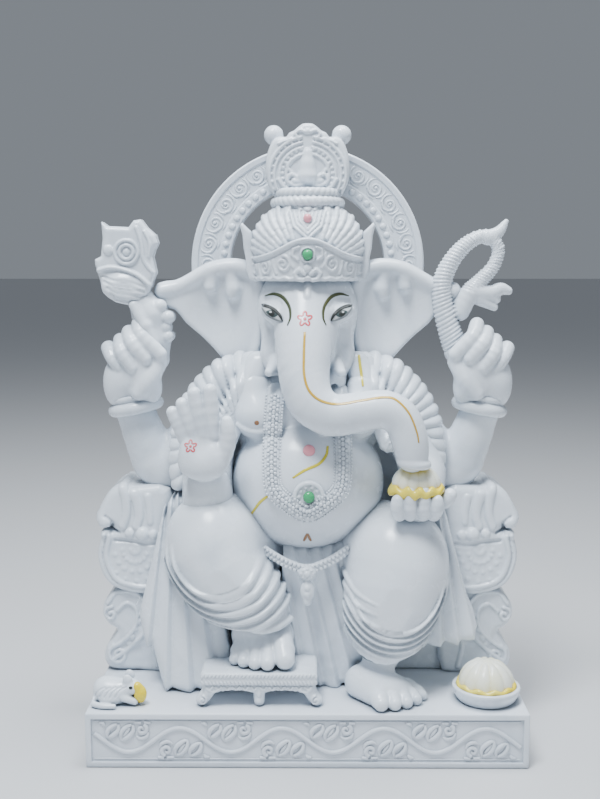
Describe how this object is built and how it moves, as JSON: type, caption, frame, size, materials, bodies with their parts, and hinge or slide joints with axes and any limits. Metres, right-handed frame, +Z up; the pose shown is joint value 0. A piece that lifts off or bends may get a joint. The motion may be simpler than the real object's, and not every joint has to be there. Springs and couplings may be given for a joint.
{
  "type": "elephant-headed idol statue",
  "caption": "Carved white marble statue of a seated elephant-headed deity with a halo, tall crown, footstool, mouse and offering bowl on a bordered plinth.",
  "frame": {"origin": "centre of the underside of the plinth, which is the bottom centre of the whole object's box", "axes": "+X to the viewer's right, +Y from the front to the back, +Z up"},
  "size_m": [0.436, 0.2, 0.61],
  "materials": {
    "white_marble": "hand-carved white marble, polished to a soft gloss",
    "plinth_marble": "white marble, polished, with a shallow carved vine",
    "yellow_painted_marble": "marble with a thin coat of yellow paint",
    "green_stone": "small polished green cabochon",
    "pink_stone": "small polished pink cabochon"
  },
  "bodies": {
    "root": {"plinth": "plinth_marble", "throne_seat": "white_marble", "throne_back": "white_marble", "armrest_left": "white_marble", "armrest_right": "white_marble", "throne_leg_left": "white_marble", "throne_leg_right": "white_marble", "halo_ring": "white_marble", "halo_beads": "white_marble", "torso": "white_marble", "head": "white_marble", "ear_left": "white_marble", "ear_right": "white_marble", "trunk": "white_marble", "tusk_left": "white_marble", "tusk_right": "white_marble", "crown_band": "white_marble", "crown_dome": "white_marble", "crown_wings": "white_marble", "crown_collar": "white_marble", "crown_crest": "white_marble", "crown_knobs": "white_marble", "shawl_left": "white_marble", "shawl_right": "white_marble", "garland": "white_marble", "medallion": "white_marble", "green_gems": "green_stone", "pink_gems": "pink_stone", "belt": "white_marble", "belt_pendant": "white_marble", "rear_arm_left": "white_marble", "rear_arm_right": "white_marble", "rear_hand_left": "white_marble", "rear_hand_right": "white_marble", "bangles": "white_marble", "axe_head": "white_marble", "axe_handle": "white_marble", "noose": "white_marble", "blessing_arm": "white_marble", "blessing_hand": "white_marble", "offering_arm": "white_marble", "offering_hand": "white_marble", "hand_sweets": "yellow_painted_marble", "leg_left": "white_marble", "leg_right": "white_marble", "foot_left": "white_marble", "foot_right": "white_marble", "side_drape_left": "white_marble", "side_drape_right": "white_marble", "centre_sash": "white_marble", "stool_top": "white_marble", "stool_apron": "white_marble", "stool_legs": "white_marble", "mouse": "white_marble", "mouse_sweet": "yellow_painted_marble", "offering_bowl": "white_marble", "bowl_sweets": "yellow_painted_marble"}
  },
  "joints": []
}
